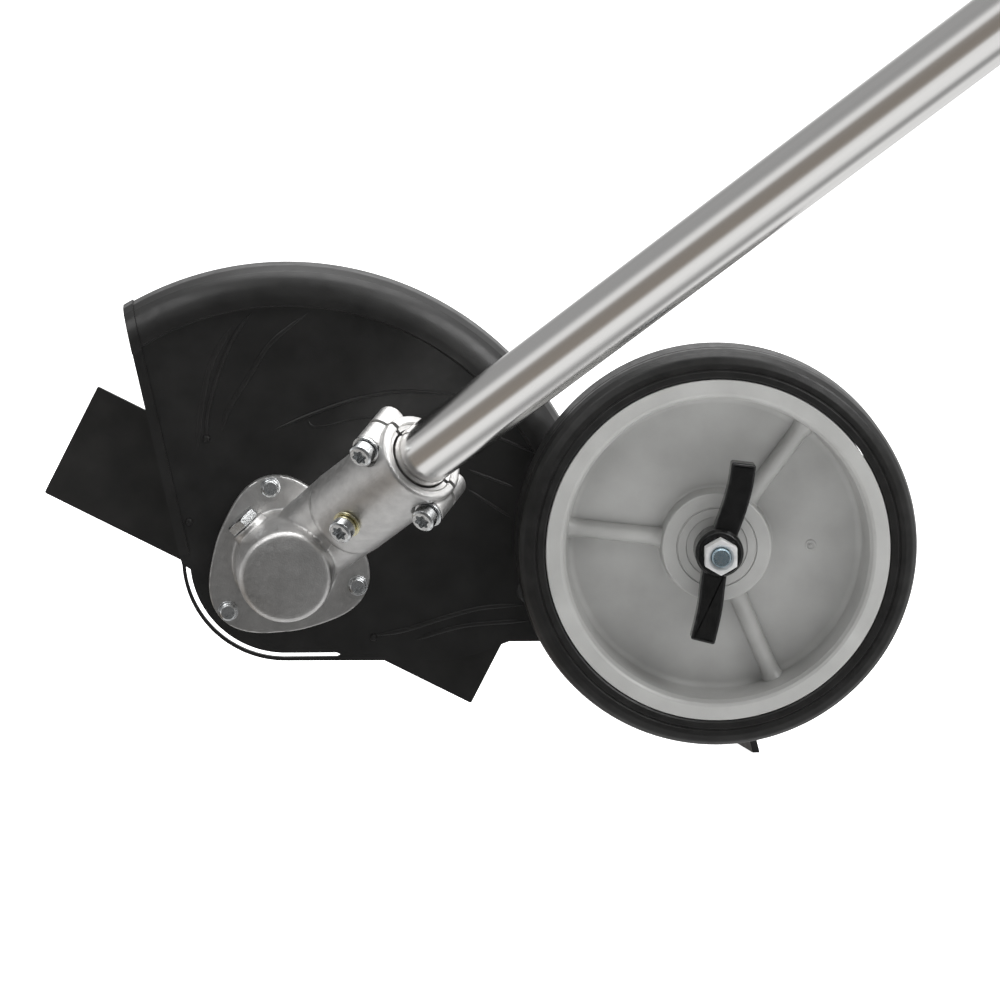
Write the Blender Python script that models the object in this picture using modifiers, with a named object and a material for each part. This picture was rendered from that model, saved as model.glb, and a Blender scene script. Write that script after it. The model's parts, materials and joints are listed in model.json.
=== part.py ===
"""Lawn edger attachment: drive tube, bevel gearcase, guarded blade and depth wheel.

Frame, in metres: the origin is the centre of the output shaft's free end, on the arbor axis.
+Y runs along the arbor from the gearcase through the blade, +X points from the arbor to the
wheel, +Z is up. The drive tube rises from the gearcase to the right, towards -Y.
"""
import math

import bmesh
import bpy
from mathutils import Matrix, Vector

# ---- driving dimensions ------------------------------------------------------------------
GAP = 0.0003                      # clearance between touching pieces

BLADE_LENGTH = 0.2032
BLADE_WIDTH = 0.0508
BLADE_THICKNESS = 0.003
BLADE_Y = -0.015                  # middle of the blade
BLADE_SLOPE = math.radians(-27)
ARBOR_HOLE_R = 0.0127

GUARD_Y = -0.050                  # front face of the guard plate
GUARD_THICKNESS = 0.0025
GUARD_CENTRE = (0.0008, -0.0100)  # centre of the guard's arcs, x and z
GUARD_BAND_R = 0.1175             # inner edge of the raised rim band
GUARD_CREST_R = 0.1316            # corner between the band and the fender wall
GUARD_R = 0.1335                  # fender wall at its widest
GUARD_TOE_R = 0.0434              # round toe of the plate, about the arbor
TOE_SLOT_R = (0.0401, 0.0419)     # slit inside the toe's edge
GUARD_LIP_R = 0.1255              # fender wall at its back edge, drawn in round the blade
GUARD_BACK_Y = GUARD_Y + 0.044
SPIGOT_HOLE_R = 0.0185

APEX_Y = GUARD_Y - 0.002          # where the arbor and drive axes meet
DRIVE_TILT = math.radians(40)     # drive axis out of the blade's plane
DRIVE_RISE = math.radians(43.5)   # drive axis above +X, in the blade's plane

TUBE_R = 0.0127
TUBE_BORE_R = 0.0111
TUBE_START = 0.053                # stations along the drive axis, from the apex
TUBE_END = 0.740
STUB_END = 0.752
SLEEVE_R = 0.019
SLEEVE_START = 0.045
SLEEVE_END = 0.101
NECK_WIDENING = 1.13              # the neck is oval, wider across than deep
CLAMP_STATION = 0.0915
CLAMP_OFFSET = 0.0184
LOCATING_STATION = 0.062

FLANGE_SCREW_R = 0.032
FLANGE_SCREW_ANGLES = [math.radians(a) for a in (101, 221, 341)]
FLANGE_BASE_R = 0.0301
FLANGE_EAR = 0.0064               # how far the flange swells out at each screw

PLUG_Y = GUARD_Y - 0.0138         # grease plug's axis

GEAR_TEETH = 21
PINION_TEETH = 13
GEAR_CONE = 0.024                 # cone distance of the bevel pair
GEAR_FACE = 0.008

AXLE_X = 0.178
AXLE_Z = 0.012
AXLE_R = 0.004
WHEEL_FRONT = GUARD_Y - 0.058
WHEEL_BACK = GUARD_Y - 0.020
RIM_R = 0.071
TYRE_R = 0.082
WHEEL_DROP = 0.032                # travel of the axle down and up its slot
WHEEL_LIFT = 0.028
WHEEL_RIB_ANGLES = [math.radians(a) for a in (53.4, 173.4, 293.4)]

BRACKET_BOLTS = [(0.1025, -0.014), (0.1025, 0.020)]
LIP_FOLD = 0.25                   # how far the bracket's folded edge leans in, per unit of depth
# Lines along the lever nut's two wings, from the axle, in x and z.
UPPER_WING = [(0.0, 0.0), (0.0036, 0.0104), (0.0062, 0.0189), (0.0088, 0.0275), (0.0098, 0.0312)]
LOWER_WING = [(0.0, 0.0), (-0.0015, -0.0126), (-0.0031, -0.0235), (-0.0046, -0.0300), (-0.0053, -0.0330)]
WING_HALF_WIDTH = 0.0053

# ---- frames of reference -----------------------------------------------------------------
TO_Y = Matrix.Rotation(-math.pi / 2, 4, 'X')       # local +Z becomes world +Y
FLAT = Matrix.Rotation(math.pi / 2, 4, 'X')        # local X, Y become world X, Z
ARBOR = TO_Y
AXLE = Matrix.Translation((AXLE_X, 0, AXLE_Z)) @ TO_Y


def drive_frame():
    """Local +Z along the drive axis, +Y out of the clamp's front, +X to the upper left."""
    along = Vector((math.cos(DRIVE_TILT) * math.cos(DRIVE_RISE), -math.sin(DRIVE_TILT),
                    math.cos(DRIVE_TILT) * math.sin(DRIVE_RISE)))
    across = Vector((-math.sin(DRIVE_RISE), 0, math.cos(DRIVE_RISE)))
    front = along.cross(across)
    frame = Matrix((across, front, along)).transposed().to_4x4()
    return Matrix.Translation((0, APEX_Y, 0)) @ frame


DRIVE = drive_frame()


def toward(frame, x, y, z=0.0):
    """A frame at (x, y, z) of another frame, whose local +Z is that frame's +Y."""
    return frame @ Matrix.Translation((x, y, z)) @ TO_Y


# ---- scene and materials -----------------------------------------------------------------
def clear_scene():
    for obj in list(bpy.data.objects):
        bpy.data.objects.remove(obj, do_unlink=True)


def collection(name):
    made = bpy.data.collections.new(name)
    bpy.context.scene.collection.children.link(made)
    return made


def material(name, colour, roughness, metallic=0.0):
    made = bpy.data.materials.new(name)
    made.use_nodes = True
    shader = made.node_tree.nodes["Principled BSDF"]
    shader.inputs["Base Color"].default_value = (*colour, 1)
    shader.inputs["Roughness"].default_value = roughness
    shader.inputs["Metallic"].default_value = metallic
    made.diffuse_color = (*colour, 1)
    return made


clear_scene()
PARTS = collection("lawn_edger")
CUTTERS = collection("lawn_edger_cutters")

POLISHED = material("polished_aluminium", (0.72, 0.71, 0.69), 0.22, 1.0)
CAST = material("cast_aluminium", (0.62, 0.61, 0.59), 0.42, 1.0)
ZINC = material("zinc_steel", (0.66, 0.67, 0.69), 0.28, 1.0)
STEEL = material("machined_steel", (0.45, 0.45, 0.46), 0.35, 1.0)
BLACK_STEEL = material("black_steel", (0.02, 0.02, 0.022), 0.5)
BLACK_PLASTIC = material("black_plastic", (0.012, 0.012, 0.013), 0.3)
GREY_PLASTIC = material("grey_plastic", (0.52, 0.52, 0.51), 0.45)
RUBBER = material("black_rubber", (0.015, 0.015, 0.015), 0.7)
SEAL_RUBBER = material("seal_rubber", (0.03, 0.03, 0.03), 0.6)
BUSH_NYLON = material("bush_nylon", (0.75, 0.74, 0.68), 0.5)


# ---- making shapes -----------------------------------------------------------------------
def place(name, mesh, frame, mat):
    """Put a mesh in the scene as a part, or as a cutter when it has no material."""
    obj = bpy.data.objects.new(name, mesh)
    obj.matrix_world = frame
    if mat is None:
        CUTTERS.objects.link(obj)
        obj.display_type = 'WIRE'
        obj.hide_render = True
    else:
        PARTS.objects.link(obj)
        mesh.materials.clear()
        mesh.materials.append(mat)
    return obj


def from_bmesh(name, bm, frame, mat):
    bmesh.ops.recalc_face_normals(bm, faces=bm.faces)
    mesh = bpy.data.meshes.new(name)
    bm.to_mesh(mesh)
    bm.free()
    return place(name, mesh, frame, mat)


def turned(name, profile, frame, mat=None, steps=32, ring=False):
    """Turn a profile of (radius, station) about local Z. A ring's profile is a closed loop."""
    mesh = bpy.data.meshes.new(name)
    count = len(profile)
    edges = [(i, (i + 1) % count) for i in range(count if ring else count - 1)]
    mesh.from_pydata([(r, 0, z) for r, z in profile], edges, [])
    obj = place(name, mesh, frame, mat)
    screw = obj.modifiers.new("turn", 'SCREW')
    screw.axis = 'Z'
    screw.steps = steps
    screw.render_steps = steps
    screw.use_merge_vertices = True
    screw.merge_threshold = 0.00001
    screw.use_smooth_shade = True
    return obj


def rod(name, r, low, high, frame, mat=None, steps=14):
    return turned(name, [(0, high), (r, high), (r, low), (0, low)], frame, mat, steps)


def pipe(name, bore, r, low, high, frame, mat=None, steps=20):
    loop = [(r, high), (r, low), (bore, low), (bore, high)]
    return turned(name, loop, frame, mat, steps, ring=True)


def block(name, low, high, frame, mat=None):
    """A box between two corners of a frame."""
    bm = bmesh.new()
    bmesh.ops.create_cube(bm, size=1)
    size = [h - l for l, h in zip(low, high)]
    middle = [(h + l) / 2 for l, h in zip(low, high)]
    bmesh.ops.scale(bm, vec=size, verts=bm.verts)
    bmesh.ops.translate(bm, vec=middle, verts=bm.verts)
    return from_bmesh(name, bm, frame, mat)


def arc(centre, r, start, end, steps):
    """Points along an arc, from start to end degrees."""
    angles = [math.radians(start + (end - start) * i / steps) for i in range(steps + 1)]
    return [(centre[0] + r * math.cos(a), centre[1] + r * math.sin(a)) for a in angles]


def extruded(name, outlines, low, high, frame, mat=None):
    """Extrude flat outlines along local Z; an outline inside another one is a hole."""
    curve = bpy.data.curves.new(name + "_outline", 'CURVE')
    curve.dimensions = '2D'
    curve.fill_mode = 'BOTH'
    curve.extrude = (high - low) / 2
    for outline in outlines:
        spline = curve.splines.new('POLY')
        spline.points.add(len(outline) - 1)
        for point, (x, y) in zip(spline.points, outline):
            point.co = (x, y, 0, 1)
        spline.use_cyclic_u = True
    sketch = bpy.data.objects.new(name + "_outline", curve)
    CUTTERS.objects.link(sketch)
    bpy.context.view_layer.update()
    mesh = bpy.data.meshes.new_from_object(sketch.evaluated_get(bpy.context.evaluated_depsgraph_get()))
    bpy.data.objects.remove(sketch, do_unlink=True)
    bm = bmesh.new()
    bm.from_mesh(mesh)
    bmesh.ops.remove_doubles(bm, verts=bm.verts, dist=0.00001)
    bmesh.ops.translate(bm, vec=(0, 0, (low + high) / 2), verts=bm.verts)
    bpy.data.meshes.remove(mesh)
    return from_bmesh(name, bm, frame, mat)


def plate(name, outlines, front, back, mat=None):
    """A flat piece in the X-Z plane, from y = front to y = back."""
    return extruded(name, outlines, -back, -front, FLAT, mat)


def combine(target, other, operation):
    step = target.modifiers.new(operation.lower(), 'BOOLEAN')
    step.operation = operation
    step.solver = 'EXACT'
    step.object = other


def cut(target, *others):
    for other in others:
        combine(target, other, 'DIFFERENCE')


def add(target, *others):
    for other in others:
        combine(target, other, 'UNION')


def hexagon(across_flats, turn=0.0):
    r = across_flats / math.sqrt(3)
    return [(r * math.cos(math.radians(60 * i + turn)), r * math.sin(math.radians(60 * i + turn)))
            for i in range(6)]


def polar(r, angle):
    return (r * math.cos(angle), r * math.sin(angle))


def flange_outline(base, steps=54):
    """Round outline of radius base that swells smoothly out round each flange screw."""
    outline = []
    for i in range(steps):
        a = 2 * math.pi * i / steps
        off = min(abs(math.remainder(a - screw, 2 * math.pi)) for screw in FLANGE_SCREW_ANGLES)
        swell = 0.5 + 0.5 * math.cos(3 * off)
        outline.append(polar(base + FLANGE_EAR * swell ** 1.4, a))
    return outline


def screw_frames(y):
    """Frames on the three flange screws, local +Z along +Y."""
    return [Matrix.Translation((x, y, z)) @ TO_Y
            for x, z in (polar(FLANGE_SCREW_R, a) for a in FLANGE_SCREW_ANGLES)]


# ---- tube and drive shaft ----------------------------------------------------------------
def drive_tube():
    tube = pipe("drive_tube", TUBE_BORE_R, TUBE_R, TUBE_START, TUBE_END, DRIVE, POLISHED, 32)
    lower_hole = rod("tube_lower_hole", 0.0028, 0.008, 0.016, toward(DRIVE, 0, 0, LOCATING_STATION))
    upper_hole = rod("tube_upper_hole", 0.0035, 0.008, 0.016, toward(DRIVE, 0, 0, TUBE_END - 0.02))
    cut(tube, lower_hole, upper_hole)


def shaft_bushes():
    for i, z in enumerate((0.19, 0.39, 0.59), 1):
        pipe(f"shaft_bush_{i}", 0.0038, TUBE_BORE_R - GAP, z, z + 0.014, DRIVE, BUSH_NYLON, 16)


def drive_shaft():
    """Round rod with a square at each end; the lower one sits in the pinion's socket."""
    shaft = rod("drive_shaft", 0.0035, 0.0605, 0.738, DRIVE, STEEL, 12)
    half = 0.00245
    lower = block("shaft_lower_square", (-half, -half, 0.0508), (half, half, 0.0615), DRIVE)
    upper = block("shaft_upper_square", (-half, -half, 0.737), (half, half, STUB_END), DRIVE)
    add(shaft, lower, upper)


# ---- bevel pair --------------------------------------------------------------------------
def bevel_gear(name, teeth, mate_teeth, frame, phase, mat):
    """Straight bevel gear whose apex is the frame's origin and whose teeth face local +Z."""
    shaft_angle = math.pi / 2 - DRIVE_TILT
    cone = math.atan2(math.sin(shaft_angle), mate_teeth / teeth + math.cos(shaft_angle))
    module = 2 * GEAR_CONE * math.sin(cone) / teeth
    tip = cone + math.atan(0.75 * module / GEAR_CONE)
    root = cone - math.atan(1.15 * module / GEAR_CONE)
    pitch = 2 * math.pi / teeth
    corners = ((-0.27, root), (-0.11, tip), (0.11, tip), (0.27, root))
    bm = bmesh.new()
    loops = []
    for distance in (GEAR_CONE, GEAR_CONE - GEAR_FACE):
        loop = []
        for i in range(teeth):
            for share, angle in corners:
                turn = phase + (i + share) * pitch
                loop.append(bm.verts.new((distance * math.sin(angle) * math.cos(turn),
                                          distance * math.sin(angle) * math.sin(turn),
                                          distance * math.cos(angle))))
        loops.append(loop)
    count = len(loops[0])
    ends = [bm.verts.new((0, 0, GEAR_CONE * math.cos(root) + 0.0005)),
            bm.verts.new((0, 0, (GEAR_CONE - GEAR_FACE) * math.cos(root)))]
    for i in range(count):
        j = (i + 1) % count
        bm.faces.new((loops[0][i], loops[0][j], loops[1][j], loops[1][i]))
        for loop, end in zip(loops, ends):
            bm.faces.new((loop[i], loop[j], end))
    return from_bmesh(name, bm, frame, mat)


def input_pinion():
    pinion = bevel_gear("input_pinion", PINION_TEETH, GEAR_TEETH, DRIVE, math.pi / 2, STEEL)
    stem = turned("pinion_stem", [(0, 0.060), (0.006, 0.060), (0.006, 0.0478), (0.004, 0.0474),
                                  (0.004, 0.0305), (0.006, 0.0302), (0.006, 0.021), (0, 0.021)],
                  DRIVE, None, 16)
    half = 0.00275
    socket = block("pinion_socket", (-half, -half, 0.0505), (half, half, 0.062), DRIVE)
    add(pinion, stem)
    cut(pinion, socket)


def output_gear():
    """Toothed side faces the apex, so local +Z points along -Y; a space faces the pinion."""
    frame = Matrix.Translation((0, APEX_Y, 0)) @ FLAT
    phase = DRIVE_RISE + math.pi / GEAR_TEETH
    gear = bevel_gear("output_gear", GEAR_TEETH, PINION_TEETH, frame, phase, STEEL)
    hub = rod("gear_hub", 0.009, 0.0195, 0.0285, frame, None, 16)
    bore = rod("gear_bore", 0.0054, 0.0, 0.04, frame, None, 16)
    add(gear, hub)
    cut(gear, bore)


def output_shaft():
    y = GUARD_Y
    turned("output_shaft", [(0, 0), (0.0045, 0), (0.005, -0.0006), (0.005, y + 0.0364),
                            (0.006, y + 0.0362), (0.006, y - 0.0005), (0.0078, y - 0.0007),
                            (0.0078, y - 0.003), (0.005, y - 0.0032), (0.005, y - 0.0350),
                            (0.004, y - 0.0352), (0.004, y - 0.0415), (0, y - 0.0415)],
           ARBOR, STEEL, 20)


def bearings_and_seals():
    y = GUARD_Y
    for i, z in enumerate((0.0309, 0.0386), 1):
        pipe(f"input_bearing_{i}", 0.0043, 0.011, z, z + 0.007, DRIVE, STEEL)
    pipe("input_bearing_circlip", 0.0088, 0.011, 0.0462, 0.0473, DRIVE, STEEL)
    pipe("upper_output_bearing", 0.0043, 0.0095, y - 0.0415, y - 0.0356, ARBOR, STEEL)
    pipe("lower_output_bearing", 0.0063, 0.014, y - 0.0002, y + 0.0078, ARBOR, STEEL)
    pipe("output_bearing_circlip", 0.0115, 0.014, y + 0.0082, y + 0.0094, ARBOR, STEEL)
    pipe("output_seal", 0.0063, 0.014, y + 0.0110, y + 0.0160, ARBOR, SEAL_RUBBER)


# ---- gear housing ------------------------------------------------------------------------
def gear_housing():
    """Casting: flange and spigot, dome over the output gear, neck and split clamp sleeve."""
    y = GUARD_Y
    housing = plate("gear_housing", [flange_outline(FLANGE_BASE_R)], y - 0.0053, y - GAP, CAST)
    dome = turned("housing_dome", [(0, y - 0.002), (0.0215, y - 0.002), (0.0213, y - 0.012),
                                   (0.0198, y - 0.0395), (0.0190, y - 0.0435),
                                   (0.0165, y - 0.0468), (0.0125, y - 0.0480), (0, y - 0.0482)],
                  ARBOR, None, 28)
    spigot = rod("housing_spigot", 0.0178, y - 0.001, y + 0.0175, ARBOR, None, 28)
    neck = turned("housing_neck", [(0, 0.0462), (0.0168, 0.0462), (0.0156, 0.019), (0, 0.019)],
                  DRIVE @ Matrix.Diagonal((NECK_WIDENING, 1, 1, 1)), None, 22)
    sleeve = turned("housing_sleeve", [(0, SLEEVE_END), (0.0182, SLEEVE_END),
                                       (SLEEVE_R, SLEEVE_END - 0.0008),
                                       (SLEEVE_R, SLEEVE_START + 0.0015),
                                       (0.0178, SLEEVE_START), (0, SLEEVE_START)],
                    DRIVE, None, 28)
    add(housing, dome, spigot, neck, sleeve)
    for side in (-1, 1):
        x = side * CLAMP_OFFSET
        inner, outer = sorted((side * 0.0145, x))
        web = block(f"ear_web_{side}", (inner, -0.0126, CLAMP_STATION - 0.0052),
                    (outer, 0.0092, CLAMP_STATION + 0.0052), DRIVE)
        boss = rod(f"ear_boss_{side}", 0.0056, -0.013, 0.012, toward(DRIVE, x, 0, CLAMP_STATION))
        add(housing, web, boss)
    plug = plug_frame()
    add(housing, rod("plug_boss", 0.0078, 0.016, 0.0234, plug, None, 18))
    tube_seat = TUBE_R + GAP
    cut(housing,
        turned("gear_cavity", [(0, y + 0.03), (0.0143, y + 0.03), (0.0143, y - 0.0342),
                               (0.0098, y - 0.0342), (0.0098, y - 0.0422), (0, y - 0.0422)],
               ARBOR, None, 24),
        turned("input_bore", [(0, 0.11), (0.0148, 0.11), (0.0148, SLEEVE_END - 0.0015),
                              (tube_seat, SLEEVE_END - 0.0015), (tube_seat, TUBE_START - GAP),
                              (0.0113, TUBE_START - GAP), (0.0113, 0.0304), (0.0098, 0.0304),
                              (0.0098, 0.0088), (0, 0.0088)],
               DRIVE, None, 28),
        rod("locating_hole", 0.0028, 0.008, 0.03, toward(DRIVE, 0, 0, LOCATING_STATION), None, 12),
        rod("plug_hole", 0.0043, 0.010, 0.03, plug, None, 12))
    for side in (-1, 1):
        seat = toward(DRIVE, side * CLAMP_OFFSET, 0, CLAMP_STATION)
        cut(housing, turned(f"clamp_hole_{side}", [(0, 0.03), (0.0066, 0.03), (0.0066, 0.010),
                                                   (0.0033, 0.010), (0.0033, -0.02), (0, -0.02)],
                            seat, None, 15))
    cut(housing, block("clamp_slit", (-0.03, -0.0024, 0.0803), (0.03, -0.0006, 0.112), DRIVE))
    for i, frame in enumerate(screw_frames(0)):
        cut(housing, rod(f"flange_hole_{i}", 0.0028, y - 0.01, y + 0.01, frame, None, 12))
    for step in housing.modifiers:
        step.solver = 'MANIFOLD'


def plug_frame():
    """Frame of the grease plug: local +Z to the upper left, square to the drive axis."""
    turn = DRIVE.to_3x3().col[0].to_track_quat('Z', 'Y').to_matrix().to_4x4()
    return Matrix.Translation((0, PLUG_Y, 0)) @ turn


def grease_plug():
    frame = plug_frame()
    plug = extruded("grease_plug", [hexagon(0.013)], 0.0237, 0.0277, frame, ZINC)
    add(plug, rod("plug_thread", 0.004, 0.0165, 0.0241, frame, None, 12))


# ---- housing fasteners -------------------------------------------------------------------
def socket_screw(name, frame, head_r, head_height, shank_r, shank, key):
    """Screw seated at the frame's origin, head on the +Z side, with a hexagon socket."""
    screw = turned(name, [(0, head_height), (head_r - 0.0004, head_height),
                          (head_r, head_height - 0.0004), (head_r, 0), (shank_r, 0),
                          (shank_r, -shank), (0, -shank)], frame, ZINC, 14)
    cut(screw, extruded(name + "_socket", [hexagon(key)], head_height - 0.0024,
                        head_height + 0.001, frame))
    return screw


def housing_screws():
    y = GUARD_Y
    flip = Matrix.Rotation(math.pi, 4, 'X')
    for i, frame in enumerate(screw_frames(y - 0.0056), 1):
        socket_screw(f"flange_screw_{i}", frame @ flip, 0.00425, 0.0048, 0.0025, 0.0132, 0.004)
    for i, side in enumerate((-1, 1), 1):
        seat = toward(DRIVE, side * CLAMP_OFFSET, 0, CLAMP_STATION)
        pipe(f"clamp_washer_{i}", 0.0033, 0.006, 0.0103, 0.0115, seat, ZINC, 16)
        socket_screw(f"clamp_screw_{i}", seat @ Matrix.Translation((0, 0, 0.0118)),
                     0.005, 0.0052, 0.003, 0.0235, 0.005)
    seat = toward(DRIVE, 0, 0, LOCATING_STATION)
    pipe("locating_flat_washer", 0.0029, 0.006, 0.0193, 0.0203, seat, ZINC, 16)
    pipe("locating_spring_washer", 0.0029, 0.0048, 0.0206, 0.0218, seat, ZINC, 16)
    socket_screw("locating_screw", seat @ Matrix.Translation((0, 0, 0.0221)), 0.005, 0.0046,
                 0.0024, 0.0115, 0.005)


# ---- guard -------------------------------------------------------------------------------
def guard_outline():
    """The guard's edge in x and z; it is open past the outer arc, which the bowl forms."""
    return ([(-0.0722, 0.127), (-0.0680, 0.108), (-0.0444, 0.0015)]
            + arc((0, 0), GUARD_TOE_R, 183, 270, 14)
            + [(0.069, -0.0437), (0.080, -0.0412), (0.094, -0.0358), (0.111, -0.0358),
               (0.111, 0.045), (0.150, 0.062), (0.150, 0.150), (-0.0722, 0.150)])


def guard_bowl(name, mat):
    """Full round bowl: flat plate, sloping band up to the crest, fender wall round the blade."""
    y = GUARD_Y
    t = GUARD_THICKNESS
    outer = [(GUARD_LIP_R, GUARD_BACK_Y), (GUARD_R - 0.0026, y + 0.033), (GUARD_R, y + 0.020),
             (GUARD_R - 0.0001, y + 0.011), (GUARD_CREST_R, y + 0.0045),
             (GUARD_CREST_R - 0.0022, y + 0.0020), (GUARD_CREST_R - 0.0065, y - 0.0012),
             (GUARD_BAND_R + 0.0008, y - 0.0030), (GUARD_BAND_R, y)]
    inner = [(GUARD_BAND_R + t, y + t), (GUARD_CREST_R - 0.0065, y + 0.0020),
             (GUARD_CREST_R - t, y + 0.0065), (GUARD_R - t, y + 0.020),
             (GUARD_R - t - 0.0026, y + 0.032), (GUARD_LIP_R - t, GUARD_BACK_Y)]
    profile = [(0, y + t)] + inner + outer + [(0, y)]
    frame = Matrix.Translation((GUARD_CENTRE[0], 0, GUARD_CENTRE[1])) @ ARBOR
    return turned(name, profile, frame, mat, 64)


def guard_shell():
    y = GUARD_Y
    guard = guard_bowl("guard_shell", BLACK_PLASTIC)
    combine(guard, plate("guard_limits", [guard_outline()], y - 0.02, GUARD_BACK_Y + 0.01),
            'INTERSECT')
    inner, outer = TOE_SLOT_R
    slot = ([(-outer, -0.0020)] + arc((0, 0), outer, 188, 270, 14)
            + [(0.0215, -outer), (0.0233, (-outer - inner) / 2), (0.0215, -inner)]
            + arc((0, 0), inner, 270, 188, 14))
    cut(guard, plate("guard_slot", [slot], y - 0.01, y + 0.01),
        rod("guard_spigot_hole", SPIGOT_HOLE_R, y - 0.01, y + 0.01, ARBOR, None, 36))
    for i, frame in enumerate(screw_frames(0)):
        cut(guard, rod(f"guard_screw_hole_{i}", 0.0028, y - 0.01, y + 0.01, frame, None, 12))
    for i, (x, z) in enumerate(BRACKET_BOLTS):
        frame = Matrix.Translation((x, 0, z)) @ TO_Y
        cut(guard, rod(f"guard_bolt_hole_{i}", 0.0033, y - 0.01, y + 0.01, frame, None, 12))


def guard_backing_plate():
    y = GUARD_Y + GUARD_THICKNESS + GAP
    holes = [arc(polar(FLANGE_SCREW_R, a), 0.0028, 0, 330, 11) for a in FLANGE_SCREW_ANGLES]
    centre = arc((0, 0), SPIGOT_HOLE_R, 0, 345, 23)
    plate("guard_backing_plate", [flange_outline(0.0286, 36), centre] + holes, y, y + 0.003, BLACK_STEEL)


# ---- blade and its clamp -----------------------------------------------------------------
def blade_set():
    y = GUARD_Y
    turned("blade_inner_flange", [(0.0124, y + 0.0362), (0.0124, y + 0.0332), (0.0185, y + 0.0332),
                                  (0.0185, y + 0.0290), (0.0120, y + 0.0270),
                                  (0.0120, y + 0.0190), (0.0063, y + 0.0190),
                                  (0.0063, y + 0.0362)], ARBOR, STEEL, 24, ring=True)
    half_length = BLADE_LENGTH / 2
    half_width = BLADE_WIDTH / 2
    rectangle = [(-half_length, -half_width), (half_length, -half_width),
                 (half_length, half_width), (-half_length, half_width)]
    blade_frame = Matrix.Rotation(-BLADE_SLOPE, 4, 'Y') @ FLAT
    extruded("edger_blade", [rectangle, arc((0, 0), ARBOR_HOLE_R, 0, 348.75, 31)],
             -BLADE_Y - BLADE_THICKNESS / 2, -BLADE_Y + BLADE_THICKNESS / 2, blade_frame,
             BLACK_STEEL)
    turned("blade_outer_flange", [(0.019, y + 0.0410), (0.020, y + 0.0400), (0.020, y + 0.0368),
                                  (0.0053, y + 0.0368), (0.0053, y + 0.0410)],
           ARBOR, ZINC, 24, ring=True)
    plate("blade_nut", [hexagon(0.017), arc((0, 0), 0.0054, 0, 337.5, 15)],
          y + 0.0413, y + 0.0488, ZINC)


# ---- wheel bracket -----------------------------------------------------------------------
def wheel_bracket():
    """Slotted steel plate behind the guard, with its right edge bent back as a stiffener."""
    front = GUARD_Y + GUARD_THICKNESS + GAP
    slot_r = AXLE_R + 0.0004
    top = AXLE_Z + WHEEL_LIFT + 0.0003
    bottom = AXLE_Z - WHEEL_DROP - 0.0003
    slot = arc((AXLE_X, top), slot_r, 0, 180, 8) + arc((AXLE_X, bottom), slot_r, 180, 360, 8)
    outline = [(0.087, -0.028), (0.150, -0.030), (0.163, -0.046), (0.1905, -0.0725),
               (0.1975, -0.0725), (0.1975, 0.056), (0.162, 0.056), (0.150, 0.034),
               (0.087, 0.034)]
    holes = [arc(bolt, 0.0033, 0, 330, 11) for bolt in BRACKET_BOLTS]
    bracket = plate("wheel_bracket", [outline, slot] + holes, front, front + 0.003, BLACK_STEEL)
    add(bracket, bracket_lip("bracket_lip", front))


def bracket_lip(name, front):
    """Right edge folded back past square, its lower end splayed out to the right."""
    levels = [(0.056, 0.0), (-0.073, 0.0), (-0.0850, 0.0030)]
    bm = bmesh.new()
    loops = []
    for z, splay in levels:
        back = 0.0235 - splay
        corners = [(0.1945, 0.0), (0.1975, 0.0), (0.1975 - LIP_FOLD * back, back),
                   (0.1945 - LIP_FOLD * back, back)]
        loops.append([bm.verts.new((x + splay, front + 0.0005 + y, z)) for x, y in corners])
    for upper, lower in zip(loops, loops[1:]):
        for i in range(4):
            j = (i + 1) % 4
            bm.faces.new((upper[i], upper[j], lower[j], lower[i]))
    bm.faces.new(loops[0])
    bm.faces.new(loops[-1])
    return from_bmesh(name, bm, Matrix.Identity(4), None)


def bracket_fasteners():
    y = GUARD_Y
    for i, (x, z) in enumerate(BRACKET_BOLTS, 1):
        frame = Matrix.Translation((x, 0, z)) @ TO_Y
        turned(f"bracket_bolt_{i}", [(0, y + 0.0145), (0.003, y + 0.0145), (0.003, y - GAP),
                                     (0.0056, y - GAP), (0.0050, y - 0.0018),
                                     (0.0030, y - 0.0028), (0, y - 0.0032)],
               frame, BLACK_STEEL, 14)
        nut = turned(f"bracket_flange_nut_{i}", [(0.0050, y + 0.0074), (0.0068, y + 0.0072),
                                                 (0.0068, y + 0.0061), (0.0033, y + 0.0061),
                                                 (0.0033, y + 0.0074)],
                     frame, ZINC, 16, ring=True)
        flats = plate(f"nut_hexagon_{i}", [hexagon(0.010), arc((0, 0), 0.0034, 0, 337.5, 15)],
                      y + 0.0070, y + 0.0125)
        flats.matrix_world = Matrix.Translation((x, 0, z)) @ flats.matrix_world
        add(nut, flats)


# ---- wheel and axle ----------------------------------------------------------------------
def wheel():
    front = WHEEL_FRONT
    back = WHEEL_BACK
    web = front + 0.022
    rim = turned("wheel_rim", [(RIM_R, back), (RIM_R, front + 0.0008), (RIM_R - 0.0008, front),
                               (0.064, front), (0.0632, front + 0.0008), (0.061, web),
                               (0.0228, web), (0.0222, front + 0.0098), (0.0063, front + 0.0095),
                               (0.0063, back), (0.0222, back), (0.0228, web + 0.003),
                               (0.0625, web + 0.003), (0.066, back)],
                 AXLE, GREY_PLASTIC, 48, ring=True)
    for i, angle in enumerate(WHEEL_RIB_ANGLES):
        turn = AXLE @ Matrix.Rotation(-angle, 4, 'Z')
        add(rim, block(f"wheel_rib_{i}", (0.0215, -0.0036, front + 0.0155),
                       (0.0625, 0.0036, web + 0.001), turn))
    turned("tyre", [(0.0790, back - 0.0008), (TYRE_R, back - 0.0035), (TYRE_R, front + 0.0045),
                    (0.0795, front + 0.0012), (RIM_R + GAP, front + 0.0008),
                    (RIM_R + GAP, back - 0.0008)], AXLE, RUBBER, 48, ring=True)


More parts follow.
